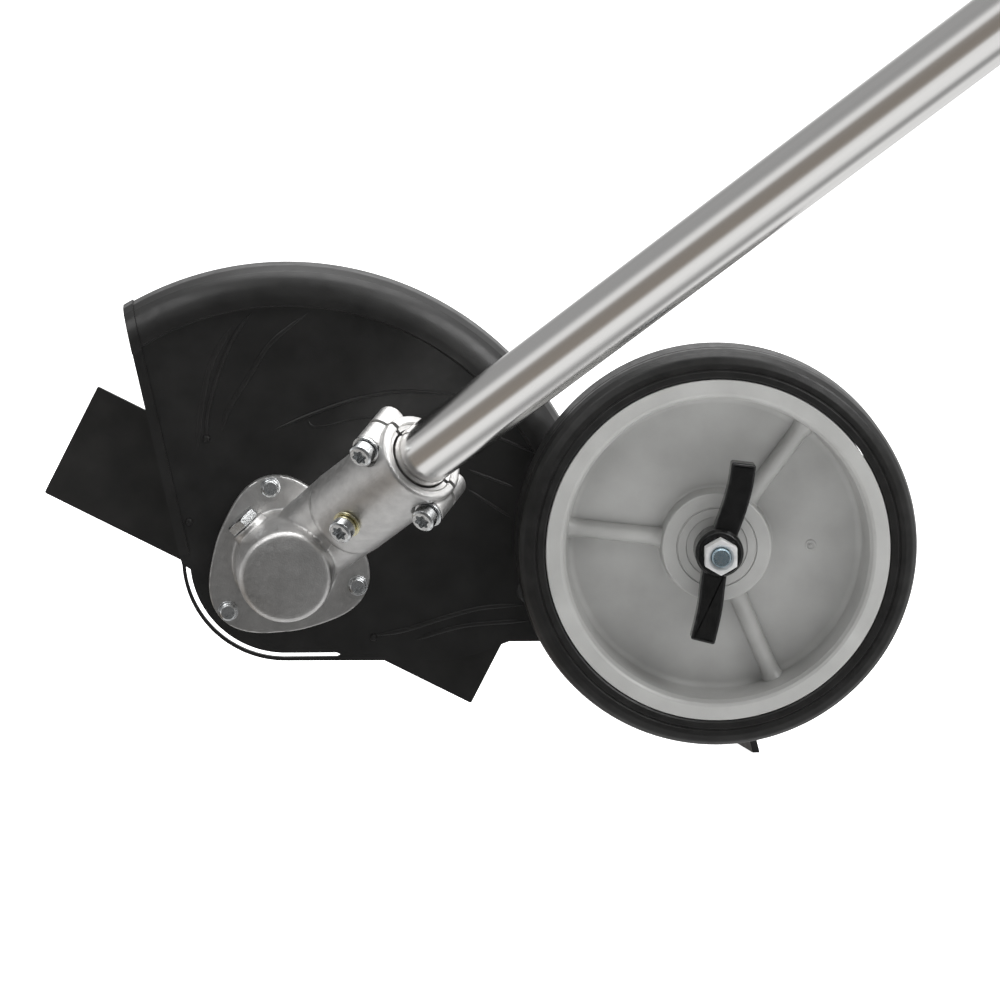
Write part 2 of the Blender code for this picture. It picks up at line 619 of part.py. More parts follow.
def axle():
    y = GUARD_Y
    front = WHEEL_FRONT
    end = front - 0.0185
    bolt = rod("axle_bolt", AXLE_R, end, y + 0.0065, AXLE, ZINC, 16)
    head = plate("axle_bolt_head", [hexagon(0.013)], y + 0.0061, y + 0.0114)
    head.matrix_world = Matrix.Translation((AXLE_X, 0, AXLE_Z)) @ head.matrix_world
    add(bolt, head)
    pipe("axle_inner_washer", 0.0043, 0.011, y + 0.0007, y + 0.0025, AXLE, ZINC, 20)
    pipe("axle_spacer", 0.0043, 0.009, WHEEL_BACK + 0.0009, y + 0.0004, AXLE, ZINC, 20)
    pipe("axle_sleeve", 0.0043, 0.006, front + 0.0087, WHEEL_BACK + 0.0006, AXLE, ZINC, 16)
    pipe("axle_outer_washer", 0.0043, 0.0096, front + 0.0068, front + 0.0084, AXLE, ZINC, 20)
    nut = plate("lock_nut", [hexagon(0.013, 30), arc((0, 0), 0.0043, 0, 337.5, 15)],
                front - 0.0169, front - 0.0092, ZINC)
    nut.matrix_world = Matrix.Translation((AXLE_X, 0, AXLE_Z)) @ nut.matrix_world


def ribbon(points, half_width):
    """Outline of even width about a line of points, with a round far end."""
    left = []
    right = []
    for i, point in enumerate(points):
        here = Vector(point)
        ahead = Vector(points[min(i + 1, len(points) - 1)])
        behind = Vector(points[max(i - 1, 0)])
        side = (ahead - behind).normalized().orthogonal() * half_width
        left.append(here + side)
        right.append(here - side)
    end = Vector(points[-1])
    heading = end - Vector(points[-2])
    start = math.degrees(math.atan2(heading.y, heading.x)) - 90
    cap = [Vector(p) for p in arc(end, half_width, start, start + 180, 6)][1:-1]
    first, second = (right, left) if (right[-1] - cap[0]).length < (left[-1] - cap[0]).length \
        else (left, right)
    return [tuple(p) for p in first + cap + second[::-1]]


def wing_nut():
    front = WHEEL_FRONT
    low = front + 0.0065
    wing = turned("wing_nut", [(0.0100, low), (0.0100, front - 0.0062), (0.0085, front - 0.0080),
                               (0.0068, front - 0.0080), (0.0068, low)],
                  AXLE, BLACK_PLASTIC, 24, ring=True)
    bore = rod("wing_bore", 0.0068, front - 0.02, front + 0.02, AXLE, None, 24)
    for i, line in enumerate((UPPER_WING, LOWER_WING)):
        arm = plate(f"wing_arm_{i}", [ribbon(line, WING_HALF_WIDTH)], front - 0.0040, front + 0.0058)
        arm.matrix_world = Matrix.Translation((AXLE_X, 0, AXLE_Z)) @ arm.matrix_world
        add(wing, arm)
    cut(wing, bore)
    pipe("wing_nut_insert", 0.0043, 0.0065, front - 0.0078, low, AXLE, ZINC, 16)


# ---- joint axes --------------------------------------------------------------------------
def pivot(name, frame):
    empty = bpy.data.objects.new(name, None)
    empty.matrix_world = frame
    empty.empty_display_size = 0.03
    PARTS.objects.link(empty)
    return empty


PIVOTS = {
    "arbor": pivot("arbor_axis", ARBOR),
    "drive": pivot("drive_axis", DRIVE),
    "carriage": pivot("wheel_carriage", AXLE),
}
RIDERS = {
    "arbor": ("output_shaft", "output_gear", "blade_inner_flange", "edger_blade",
              "blade_outer_flange", "blade_nut"),
    "drive": ("drive_shaft", "input_pinion"),
    "carriage": ("axle_bolt", "axle_inner_washer", "axle_spacer", "axle_sleeve",
                 "axle_outer_washer", "lock_nut", "wheel_rim", "tyre", "wing_nut",
                 "wing_nut_insert"),
}


def parent_to_pivots():
    for key, names in RIDERS.items():
        for name in names:
            obj = bpy.data.objects[name]
            world = obj.matrix_world.copy()
            obj.parent = PIVOTS[key]
            obj.matrix_world = world


def main():
    drive_tube()
    shaft_bushes()
    drive_shaft()
    input_pinion()
    output_gear()
    output_shaft()
    bearings_and_seals()
    gear_housing()
    grease_plug()
    housing_screws()
    guard_shell()
    guard_backing_plate()
    blade_set()
    wheel_bracket()
    bracket_fasteners()
    wheel()
    axle()
    wing_nut()
    bpy.context.view_layer.update()
    parent_to_pivots()


main()
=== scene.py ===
"""Looks of the lawn edger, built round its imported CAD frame."""
import json
import math

import bmesh
import bpy
from mathutils import Matrix, Vector


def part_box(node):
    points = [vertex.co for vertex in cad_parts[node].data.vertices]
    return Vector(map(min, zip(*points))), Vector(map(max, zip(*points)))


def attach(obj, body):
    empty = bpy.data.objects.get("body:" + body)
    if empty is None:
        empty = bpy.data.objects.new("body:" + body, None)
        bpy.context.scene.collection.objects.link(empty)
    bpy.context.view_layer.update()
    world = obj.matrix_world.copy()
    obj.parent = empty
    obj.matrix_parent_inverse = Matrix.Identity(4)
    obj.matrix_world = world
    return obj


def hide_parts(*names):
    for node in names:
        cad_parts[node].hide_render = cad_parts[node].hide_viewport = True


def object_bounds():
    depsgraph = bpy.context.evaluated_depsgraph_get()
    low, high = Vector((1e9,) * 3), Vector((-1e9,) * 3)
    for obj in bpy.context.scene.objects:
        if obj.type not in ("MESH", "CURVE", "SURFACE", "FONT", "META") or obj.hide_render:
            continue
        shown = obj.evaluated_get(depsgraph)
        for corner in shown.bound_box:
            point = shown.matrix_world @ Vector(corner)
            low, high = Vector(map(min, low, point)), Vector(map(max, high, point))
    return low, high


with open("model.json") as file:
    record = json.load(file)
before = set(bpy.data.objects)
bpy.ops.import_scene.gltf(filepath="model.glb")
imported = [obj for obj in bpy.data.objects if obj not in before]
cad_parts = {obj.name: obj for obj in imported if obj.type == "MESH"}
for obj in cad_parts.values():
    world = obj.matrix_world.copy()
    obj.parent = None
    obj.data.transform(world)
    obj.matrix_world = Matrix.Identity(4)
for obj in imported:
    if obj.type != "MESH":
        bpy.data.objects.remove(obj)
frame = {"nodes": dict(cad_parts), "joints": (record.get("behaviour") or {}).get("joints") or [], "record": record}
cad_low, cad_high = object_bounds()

# ---- frames of reference -----------------------------------------------------------------
JOINTS = {joint["name"]: joint for joint in frame["joints"]}
APEX = Vector(JOINTS["drive_shaft_spin"]["pos_m"])
ALONG = Vector(JOINTS["drive_shaft_spin"]["axis"]).normalized()
ACROSS = ALONG.cross(Vector((0, 1, 0))).normalized()
DRIVE = Matrix.Translation(APEX) @ Matrix((ACROSS, ALONG.cross(ACROSS), ALONG)).transposed().to_4x4()
TO_Y = Matrix.Rotation(-math.pi / 2, 4, 'X')
FLAT = Matrix.Rotation(math.pi / 2, 4, 'X')
HUB = Vector(JOINTS["wheel_spin"]["pos_m"])
AXLE = Matrix.Translation((HUB.x, 0, HUB.z)) @ TO_Y
AXLE_FLAT = Matrix.Translation((HUB.x, 0, HUB.z)) @ FLAT

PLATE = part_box("guard_backing_plate")[0].y - 0.0028      # front face of the guard plate
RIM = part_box("wheel_rim")[0].y                           # front face of the wheel rim
RIM_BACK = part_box("wheel_rim")[1].y
FLOOR = cad_low.z

# ---- dimensions, in metres ---------------------------------------------------------------
SCREW_R = 0.032                   # circle of the flange screws
SCREW_ANGLES = [math.radians(a) for a in (101, 221, 341)]
SCREW_HOLE_R = 0.0028
FLANGE_BASE_R = 0.0301
FLANGE_EAR = 0.0064               # how far the flange swells out at each screw
SPIGOT_HOLE_R = 0.0185
PLUG_DROP = 0.0138                # grease plug's axis, in front of the guard plate

# Stations along the drive tube, from the point where its axis meets the arbor's.
TUBE_R = 0.0127
TUBE_BORE_R = 0.0111
TUBE_LOW = 0.053
TUBE_HIGH = 0.740
SLEEVE_R = 0.019
SLEEVE_END = 0.101
SLEEVE_BORE_R = 0.0130
NECK_WIDENING = 1.18              # the neck is oval, wider across than deep
CLAMP_STATION = 0.0915
CLAMP_OFFSET = 0.0184             # clamp screws' axes, either side of the tube's
LOCATING_STATION = 0.062

TOE_SLOT_R = (0.0401, 0.0419)     # slit inside the guard's round toe
BACKING_Y = PLATE + 0.0028        # front face of the steel plate and the bracket
BACKING_THICKNESS = 0.003

BLADE_HALF = (0.1016, 0.0254, 0.0015)   # half length, width and thickness
BLADE_Y = -0.015
BLADE_SLOPE = math.radians(27)
ARBOR_HOLE_R = 0.0127

BRACKET_BOLTS = [(0.1025, -0.014), (0.1025, 0.020)]
BOLT_HOLE_R = 0.0033
LIP_FOLD = 0.25                   # how far the folded edge leans in, per unit of depth

TYRE_R = 0.0828
SMALL_FLATS = 0.010               # across the flats of the bracket's nuts
MIDDLE_FLATS = 0.013              # of the grease plug, the axle bolt and the lock nut
BLADE_NUT_FLATS = 0.017
scene = bpy.context.scene


# ---- outlines ----------------------------------------------------------------------------
def arc(centre, r, start, end, steps):
    """Points along an arc, from start to end degrees."""
    angles = [math.radians(start + (end - start) * i / steps) for i in range(steps + 1)]
    return [(centre[0] + r * math.cos(a), centre[1] + r * math.sin(a)) for a in angles]


def polar(r, angle):
    return (r * math.cos(angle), r * math.sin(angle))


def hexagon(across_flats, turn=0.0):
    r = across_flats / math.sqrt(3)
    return [polar(r, math.radians(60 * i + turn)) for i in range(6)]


def star(r, lobes=6, depth=0.17, steps=48):
    """Outline of a six-lobed driver recess."""
    return [polar(r * (1 + depth * math.cos(lobes * 2 * math.pi * i / steps)), 2 * math.pi * i / steps)
            for i in range(steps)]


def flange_outline(base, steps=180):
    """Round outline of radius base that swells smoothly out round each flange screw."""
    outline = []
    for i in range(steps):
        a = 2 * math.pi * i / steps
        off = min(abs(math.remainder(a - screw, 2 * math.pi)) for screw in SCREW_ANGLES)
        outline.append(polar(base + FLANGE_EAR * (0.5 + 0.5 * math.cos(3 * off)) ** 1.4, a))
    return outline


def rounded(corners, closed=True, steps=5):
    """Points of an outline whose corners are (x, y) or (x, y, fillet radius)."""
    points = []
    count = len(corners)
    for i, corner in enumerate(corners):
        here = Vector(corner[:2])
        radius = corner[2] if len(corner) > 2 else 0
        if not radius or (not closed and i in (0, count - 1)):
            points.append(tuple(here))
            continue
        before = Vector(corners[i - 1][:2]) - here
        after = Vector(corners[(i + 1) % count][:2]) - here
        turn = before.angle(after)
        if turn > math.pi - 0.02:
            points.append(tuple(here))
            continue
        reach = min(radius / math.tan(turn / 2), 0.49 * before.length, 0.49 * after.length)
        radius = reach * math.tan(turn / 2)
        inward = (before.normalized() + after.normalized()).normalized()
        middle = here + inward * (radius / math.sin(turn / 2))
        start = here + before.normalized() * reach - middle
        end = here + after.normalized() * reach - middle
        first = math.atan2(start.y, start.x)
        sweep = math.remainder(math.atan2(end.y, end.x) - first, 2 * math.pi)
        for k in range(steps + 1):
            points.append(tuple(middle + Vector(polar(radius, first + sweep * k / steps))))
    return points


def through(points, steps=8):
    """Smooth line through points of any number of values."""
    padded = [points[0]] + list(points) + [points[-1]]
    line = []
    for a, b, c, d in zip(padded, padded[1:], padded[2:], padded[3:]):
        for i in range(steps):
            s = i / steps
            line.append(tuple(0.5 * (2 * q + (r - p) * s + (2 * p - 5 * q + 4 * r - t) * s * s
                                     + (3 * q - p - 3 * r + t) * s ** 3)
                              for p, q, r, t in zip(a, b, c, d)))
    return line + [tuple(points[-1])]


# ---- solids ------------------------------------------------------------------------------
def solid(name, verts, faces, where):
    mesh = bpy.data.meshes.new(name)
    mesh.from_pydata(verts, [], faces)
    bm = bmesh.new()
    bm.from_mesh(mesh)
    bmesh.ops.remove_doubles(bm, verts=bm.verts, dist=1e-7)
    bmesh.ops.recalc_face_normals(bm, faces=bm.faces)
    bm.to_mesh(mesh)
    bm.free()
    obj = bpy.data.objects.new(name, mesh)
    scene.collection.objects.link(obj)
    obj.matrix_world = where
    return obj


def turned(name, profile, where, steps=96, ring=False):
    """Turn a profile of (radius, station) about local Z. A ring's profile is a closed loop."""
    verts = []
    rings = []
    for r, z in profile:
        count = 1 if r < 1e-7 else steps
        rings.append(list(range(len(verts), len(verts) + count)))
        verts += [(*polar(r, 2 * math.pi * i / steps), z) for i in range(count)]
    faces = []
    for a, b in zip(rings, rings[1:] + rings[:1] if ring else rings[1:]):
        for i in range(steps):
            j = (i + 1) % steps
            corners = [a[i % len(a)], a[j % len(a)], b[j % len(b)], b[i % len(b)]]
            corners = list(dict.fromkeys(corners))
            if len(corners) > 2:
                faces.append(corners)
    return solid(name, verts, faces, where)


def rod(name, r, low, high, where, steps=48):
    return turned(name, [(0, high), (r, high), (r, low), (0, low)], where, steps)


def loft(name, loops, where):
    """Skin over closed loops of equal count, with flat ends."""
    count = len(loops[0])
    verts = [point for loop in loops for point in loop]
    faces = [list(range(count)), list(range(len(verts) - count, len(verts)))]
    for k in range(len(loops) - 1):
        for i in range(count):
            j = (i + 1) % count
            faces.append((k * count + i, k * count + j, (k + 1) * count + j, (k + 1) * count + i))
    return solid(name, verts, faces, where)


def prism(name, outline, low, high, where, edge=0.0, steps=3):
    """Extrude an outline along local Z, with its edges rounded by edge."""
    area = sum(a[0] * b[1] - b[0] * a[1] for a, b in zip(outline, outline[1:] + outline[:1]))
    points = [Vector(p) for p in (outline if area > 0 else outline[::-1])]
    count = len(points)
    shifts = []
    for i, here in enumerate(points):
        before = (here - points[i - 1]).normalized()
        after = (points[(i + 1) % count] - here).normalized()
        normals = Vector((-before.y, before.x)), Vector((-after.y, after.x))
        shifts.append((normals[0] + normals[1]) / (1 + normals[0].dot(normals[1])))
    turns = [math.pi / 2 * i / steps for i in range(steps + 1)] if edge else [math.pi / 2]
    layers = [(low + edge * (1 - math.cos(a)), edge * (1 - math.sin(a))) for a in turns]
    layers += [(high + low - z, inset) for z, inset in layers[::-1]]
    return loft(name, [[(*(p + s * inset), z) for p, s in zip(points, shifts)]
                       for z, inset in layers], where)


def plate(name, outline, front, back, edge=0.0, x=0.0, z=0.0):
    """A flat piece in the X-Z plane, from y = front to y = back."""
    return prism(name, outline, -back, -front, Matrix.Translation((x, 0, z)) @ FLAT, edge)


def block(name, low, high, where, edge=0.0):
    corners = [(low[0], low[1]), (high[0], low[1]), (high[0], high[1]), (low[0], high[1])]
    return prism(name, corners, low[2], high[2], where, edge)


def toward(where, x, y, z=0.0):
    """A frame at (x, y, z) of another frame, whose local +Z is that frame's +Y."""
    return where @ Matrix.Translation((x, y, z)) @ TO_Y


def along_y(x, z):
    """A frame at (x, 0, z) whose local +Z is the world's +Y."""
    return Matrix.Translation((x, 0, z)) @ TO_Y


def settle(obj):
    """Apply every modifier."""
    graph = bpy.context.evaluated_depsgraph_get()
    mesh = bpy.data.meshes.new_from_object(obj.evaluated_get(graph))
    obj.modifiers.clear()
    obj.data = mesh


def combine(target, others, operation):
    for other in others:
        step = target.modifiers.new(operation.lower(), 'BOOLEAN')
        step.operation = operation
        step.solver = 'MANIFOLD'
        step.object = other
    settle(target)
    for other in others:
        bpy.data.objects.remove(other, do_unlink=True)
    return target


def add(target, *others):
    return combine(target, others, 'UNION')


def cut(target, *others):
    return combine(target, others, 'DIFFERENCE')


def soften(obj, voxel, rounds, factor=0.5):
    """Cast fillets: rebuild the skin at voxel size, then relax it."""
    remesh = obj.modifiers.new("skin", 'REMESH')
    remesh.mode = 'VOXEL'
    remesh.voxel_size = voxel
    relax = obj.modifiers.new("relax", 'SMOOTH')
    relax.factor = factor
    relax.iterations = rounds
    settle(obj)
    return obj


# ---- materials ---------------------------------------------------------------------------
def finish(name, colours, roughness, metallic=0.0, grain=(300, 0.0), mottle=90, stretch=(1, 1, 1),
           detail=4.0, **sockets):
    """Node material: two colours and a range of roughness mixed by one noise, bump by another.

    grain is (scale, depth) of the bump in 1/m and m; mottle is the colour noise's scale.
    """
    made = bpy.data.materials.new(name)
    made.use_nodes = True
    tree = made.node_tree
    shader = tree.nodes["Principled BSDF"]
    shader.inputs["Metallic"].default_value = metallic
    for key, value in sockets.items():
        shader.inputs[key.replace("_", " ")].default_value = value
    place = tree.nodes.new("ShaderNodeTexCoord")
    mapping = tree.nodes.new("ShaderNodeMapping")
    mapping.inputs["Scale"].default_value = stretch
    tree.links.new(place.outputs["Object"], mapping.inputs["Vector"])

    def noise(scale, depth):
        node = tree.nodes.new("ShaderNodeTexNoise")
        node.inputs["Scale"].default_value = scale
        node.inputs["Detail"].default_value = depth
        tree.links.new(mapping.outputs["Vector"], node.inputs["Vector"])
        return node.outputs["Fac"]

    patches = noise(mottle, detail)
    ramp = tree.nodes.new("ShaderNodeValToRGB")
    ramp.color_ramp.elements[0].position = 0.3
    ramp.color_ramp.elements[1].position = 0.7
    for element, colour in zip(ramp.color_ramp.elements, colours):
        element.color = (*colour, 1)
    tree.links.new(patches, ramp.inputs["Fac"])
    tree.links.new(ramp.outputs["Color"], shader.inputs["Base Color"])
    rough = tree.nodes.new("ShaderNodeMapRange")
    rough.inputs["From Min"].default_value = 0.3
    rough.inputs["From Max"].default_value = 0.7
    rough.inputs["To Min"].default_value = roughness[0]
    rough.inputs["To Max"].default_value = roughness[1]
    tree.links.new(noise(mottle * 2.3, detail), rough.inputs["Value"])
    tree.links.new(rough.outputs["Result"], shader.inputs["Roughness"])
    if grain[1]:
        bump = tree.nodes.new("ShaderNodeBump")
        bump.inputs["Distance"].default_value = grain[1]
        bump.inputs["Strength"].default_value = 1.0
        tree.links.new(noise(grain[0], 3.0), bump.inputs["Height"])
        tree.links.new(bump.outputs["Normal"], shader.inputs["Normal"])
    return made


def grey(low, high, tint=(1.0, 1.0, 1.0)):
    return [tuple(v * t for t in tint) for v in (low, high)]


TUBE = finish("tube_aluminium", grey(0.80, 0.90, (1, 0.99, 0.975)), (0.15, 0.24), 1.0,
              (900, 0.000006), 160, (1, 1, 0.006))
CAST = finish("cast_aluminium", grey(0.64, 0.76, (1, 0.99, 0.975)), (0.40, 0.50), 1.0,
              (1500, 0.00010), 220)
ZINC = finish("zinc_plate", grey(0.62, 0.82, (0.97, 0.99, 1.0)), (0.18, 0.32), 1.0, (1800, 0.00002), 500)
SATIN_ZINC = finish("satin_zinc", grey(0.70, 0.82), (0.42, 0.55), 0.6, (1500, 0.00003), 500)
YELLOW_ZINC = finish("yellow_zinc", [(0.72, 0.66, 0.42), (0.80, 0.78, 0.60)], (0.2, 0.34), 1.0,
                     (1800, 0.00002), 500)
BLUE_ZINC = finish("blue_zinc", [(0.42, 0.58, 0.68), (0.62, 0.74, 0.80)], (0.2, 0.32), 1.0,
                   (1500, 0.00003), 700)
STEEL = finish("machined_steel", grey(0.40, 0.52), (0.25, 0.38), 1.0, (1400, 0.00002), 300)
BLACK_STEEL = finish("black_steel", grey(0.010, 0.018), (0.38, 0.50), 0.0, (700, 0.00004), 120)
BLADE = finish("blade_black", grey(0.009, 0.015, (1.05, 1, 0.94)), (0.46, 0.58), 0.0, (450, 0.00005), 60,
               Specular_IOR_Level=0.35)
PLASTIC = finish("guard_plastic", grey(0.006, 0.011, (1.03, 1, 0.97)), (0.30, 0.42), 0.0,
                 (1600, 0.00003), 70, Specular_IOR_Level=0.42)
LEVER = finish("lever_plastic", grey(0.003, 0.006), (0.08, 0.20), 0.0, (260, 0.00045), 220,
               Specular_IOR_Level=0.4)
WHEEL = finish("wheel_plastic", [(0.27, 0.27, 0.262), (0.33, 0.33, 0.322)], (0.34, 0.46), 0.0,
               (900, 0.00003), 45)
RUBBER = finish("tyre_rubber", grey(0.007, 0.013, (1.02, 1, 0.97)), (0.32, 0.44), 0.0,
                (1300, 0.00005), 130, Specular_IOR_Level=0.32)
SEAL = finish("seal_rubber", grey(0.02, 0.035), (0.55, 0.7), 0.0, (900, 0.00003), 150)
NYLON = finish("bush_nylon", [(0.66, 0.65, 0.58), (0.76, 0.75, 0.68)], (0.4, 0.55), 0.0,
               (900, 0.00003), 150)

SLOT_FINISH = {
    "polished_aluminium": TUBE, "cast_aluminium": CAST, "zinc_steel": ZINC, "machined_steel": STEEL,
    "black_steel": BLACK_STEEL, "black_plastic": PLASTIC, "grey_plastic": WHEEL,
    "black_rubber": RUBBER, "seal_rubber": SEAL, "bush_nylon": NYLON,
}
BODY_OF = {node: body for body, nodes in frame["record"]["behaviour"]["bodies"].items() for node in nodes}
SLOT_OF = {part["node"]: part["material_slot"] for part in frame["record"]["subparts"]}


def show(obj, node, look=None, angle=32):
    """Finish a piece, and let it stand for its CAD node."""
    obj.data.materials.clear()
    obj.data.materials.append(look or SLOT_FINISH[SLOT_OF[node]])
    obj.data.shade_smooth()
    obj.data.set_sharp_from_angle(angle=math.radians(angle))
    weighted = obj.modifiers.new("face_weighted_normals", 'WEIGHTED_NORMAL')
    weighted.keep_sharp = True
    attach(obj, BODY_OF[node])
    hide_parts(node)
    return obj


# ---- tube --------------------------------------------------------------------------------
def drive_tube():
    profile = rounded([(TUBE_R, TUBE_HIGH, 0.0005), (TUBE_R, TUBE_LOW, 0.0005),
                       (TUBE_BORE_R, TUBE_LOW, 0.0004), (TUBE_BORE_R, TUBE_HIGH, 0.0004)])
    tube = turned("tube_polished", profile, DRIVE, 192, ring=True)
    cut(tube, rod("lower_hole", 0.0028, 0.008, 0.016, toward(DRIVE, 0, 0, LOCATING_STATION)),
        rod("upper_hole", 0.0035, 0.008, 0.016, toward(DRIVE, 0, 0, TUBE_HIGH - 0.02)))
    show(tube, "drive_tube", TUBE)


# ---- gear housing ------------------------------------------------------------------------
def plug_frame():
    """Frame of the grease plug: local +Z to the upper left, square to the drive axis."""
    turn = ACROSS.to_track_quat('Z', 'Y').to_matrix().to_4x4()
    return Matrix.Translation((0, PLATE - PLUG_DROP, 0)) @ turn


def gear_housing():
    y = PLATE
    body = plate("housing_casting", flange_outline(FLANGE_BASE_R), y - 0.0053, y - 0.0003, 0.0004)
    dome = turned("dome", rounded([(0, y - 0.002), (0.0222, y - 0.002), (0.0213, y - 0.012, 0.004),
                                   (0.0198, y - 0.0395, 0.003), (0.0188, y - 0.0465, 0.0030),
                                   (0.0120, y - 0.0477, 0.012), (0, y - 0.0484)], False, 8), TO_Y, 128)
    spigot = rod("spigot", 0.0178, y - 0.001, y + 0.0175, TO_Y, 96)
    neck = turned("neck", [(0, 0.0462), (0.0160, 0.0462), (0.0150, 0.019), (0, 0.019)],
                  DRIVE @ Matrix.Diagonal((NECK_WIDENING, 1, 1, 1)), 128)
    sleeve = turned("sleeve", rounded([(0, SLEEVE_END), (SLEEVE_R, SLEEVE_END, 0.0012),
                                       (SLEEVE_R, 0.0468, 0.004), (0.0172, 0.0438, 0.002),
                                       (0, 0.0438)], False), DRIVE, 160)
    add(body, dome, spigot, neck, sleeve)
    for side in (-1, 1):
        x = side * CLAMP_OFFSET
        inner, outer = sorted((side * 0.0125, x))
        web = block("web", (inner, -0.0126, CLAMP_STATION - 0.0053),
                    (outer, 0.0095, CLAMP_STATION + 0.0056), DRIVE, 0.0006)
        boss = turned("boss", rounded([(0, -0.0132), (0.0058, -0.0132, 0.0012), (0.0058, 0.0102, 0.0008),
                                       (0, 0.0102)], False), toward(DRIVE, x, 0, CLAMP_STATION), 64)
        add(body, web, boss)
    add(body, rod("plug_boss", 0.0080, 0.014, 0.0234, plug_frame(), 64))
    soften(body, 0.0006, 6)
    key = block("cast_key", (-0.0017, 0.0120, -0.0050), (0.0017, 0.0184, 0.0050),
                DRIVE @ Matrix.Translation((-0.0024, 0, 0.0408))
                @ Matrix.Rotation(math.radians(12), 4, 'Y'), 0.0006)
    add(body, key)
    cavity = turned("cavity", [(0, y + 0.03), (0.0143, y + 0.03), (0.0143, y - 0.0342),
                               (0.0098, y - 0.0342), (0.0098, y - 0.0422), (0, y - 0.0422)], TO_Y, 96)
    bore = turned("bore", [(0, 0.11), (0.0157, 0.11), (0.0157, SLEEVE_END),
                           (0.0151, SLEEVE_END - 0.0005), (0.0151, SLEEVE_END - 0.0015),
                           (SLEEVE_BORE_R + 0.0004, SLEEVE_END - 0.0018),
                           (SLEEVE_BORE_R, SLEEVE_END - 0.0024),
                           (SLEEVE_BORE_R, 0.0527), (0.0113, 0.0527), (0.0113, 0.0304), (0.0098, 0.0304),
                           (0.0098, 0.0088), (0, 0.0088)], DRIVE, 160)
    cut(body, cavity, bore,
        rod("locating_hole", 0.0028, 0.008, 0.03, toward(DRIVE, 0, 0, LOCATING_STATION)),
        rod("locating_seat", 0.0068, 0.0190, 0.03, toward(DRIVE, 0, 0, LOCATING_STATION)),
        rod("plug_hole", 0.0043, 0.010, 0.03, plug_frame()))
    for side in (-1, 1):
        spot = toward(DRIVE, side * CLAMP_OFFSET, 0, CLAMP_STATION)
        cut(body, turned("clamp_hole", [(0, 0.03), (0.0066, 0.03), (0.0066, 0.010), (0.0033, 0.010),
                                        (0.0033, -0.02), (0, -0.02)], spot, 64))
    cut(body, block("slit", (-0.03, -0.0024, 0.0803), (0.03, -0.0006, 0.112), DRIVE))
    for angle in SCREW_ANGLES:
        x, z = polar(SCREW_R, angle)
        where = along_y(x, z)
        cut(body, turned("flange_hole", [(0, y + 0.01), (SCREW_HOLE_R, y + 0.01),
                                         (SCREW_HOLE_R, y - 0.0050),
                                         (0.0062, y - 0.0050), (0.0062, y - 0.012), (0, y - 0.012)],
                         where, 48))
    show(body, "gear_housing", CAST, 40)


def grease_plug():
    where = plug_frame()
    head = prism("plug_head", hexagon(MIDDLE_FLATS), 0.0237, 0.0277, where, 0.0004)
    combine(head, [turned("plug_chamfer", [(0, 0.0237), (0.0071, 0.0237), (0.0075, 0.0241),
                                           (0.0075, 0.0271), (0.0062, 0.0277), (0, 0.0277)], where)],
            'INTERSECT')
    add(head, rod("plug_thread", 0.004, 0.0165, 0.0241, where))
    show(head, "grease_plug", ZINC)


# ---- fasteners ---------------------------------------------------------------------------
def lobed_screw(name, node, where, head_r, head_height, shank_r, shank, recess, skirt_r=None):
    """Pan-headed screw seated at its frame's origin, with a thread and a six-lobed recess."""
    skirt_r = skirt_r or head_r
    skirt = 0.0010
    head = rounded([(0, head_height), (head_r * 0.84, head_height, 0.0002),
                    (head_r, head_height - 0.0007, 0.0004), (head_r, skirt, 0.0002),
                    (skirt_r, skirt * 0.7, 0.0002), (skirt_r, 0, 0.0002), (shank_r, 0)], False)
    thread = []
    pitch = 0.0008
    for i in range(int(shank / pitch)):
        thread += [(shank_r, -i * pitch - 0.0001), (shank_r * 0.88, -i * pitch - 0.0005)]
    screw = turned(name, head + thread + [(shank_r * 0.8, -shank), (0, -shank)], where, 48)
    cut(screw, prism("recess", star(recess), head_height - 0.0028, head_height + 0.001, where))
    show(screw, node, ZINC)


def washer(name, node, where, bore, r, low, high, look):
    edge = min(0.00025, (high - low) / 4)
    ring = turned(name, rounded([(r, high, edge), (r, low, edge), (bore, low, edge), (bore, high, edge)],
                                steps=3), where, 64, ring=True)
    return show(ring, node, look)


def housing_screws():
    flip = Matrix.Rotation(math.pi, 4, 'X')
    for i, angle in enumerate(SCREW_ANGLES, 1):
        x, z = polar(SCREW_R, angle)
        where = Matrix.Translation((x, PLATE - 0.0056, z)) @ TO_Y @ flip
        lobed_screw(f"flange_screw_{i}_lobed", f"flange_screw_{i}", where, 0.0034, 0.0048, 0.0025,
                    0.0132, 0.0021, 0.00425)
    for i, side in enumerate((-1, 1), 1):
        seat = toward(DRIVE, side * CLAMP_OFFSET, 0, CLAMP_STATION)
        washer(f"clamp_washer_{i}_ring", f"clamp_washer_{i}", seat, 0.0033, 0.006, 0.0103, 0.0115, ZINC)
        lobed_screw(f"clamp_screw_{i}_lobed", f"clamp_screw_{i}",
                    seat @ Matrix.Translation((0, 0, 0.0118)), 0.005, 0.0052, 0.003, 0.0235, 0.0029)
    seat = toward(DRIVE, 0, 0, LOCATING_STATION)
    washer("locating_flat_ring", "locating_flat_washer", seat, 0.0029, 0.006, 0.0193, 0.0203, YELLOW_ZINC)
    washer("locating_spring_ring", "locating_spring_washer", seat, 0.0029, 0.0048, 0.0206, 0.0218,
           YELLOW_ZINC)
    lobed_screw("locating_screw_lobed", "locating_screw", seat @ Matrix.Translation((0, 0, 0.0221)),
                0.005, 0.0046, 0.0024, 0.0115, 0.0029)


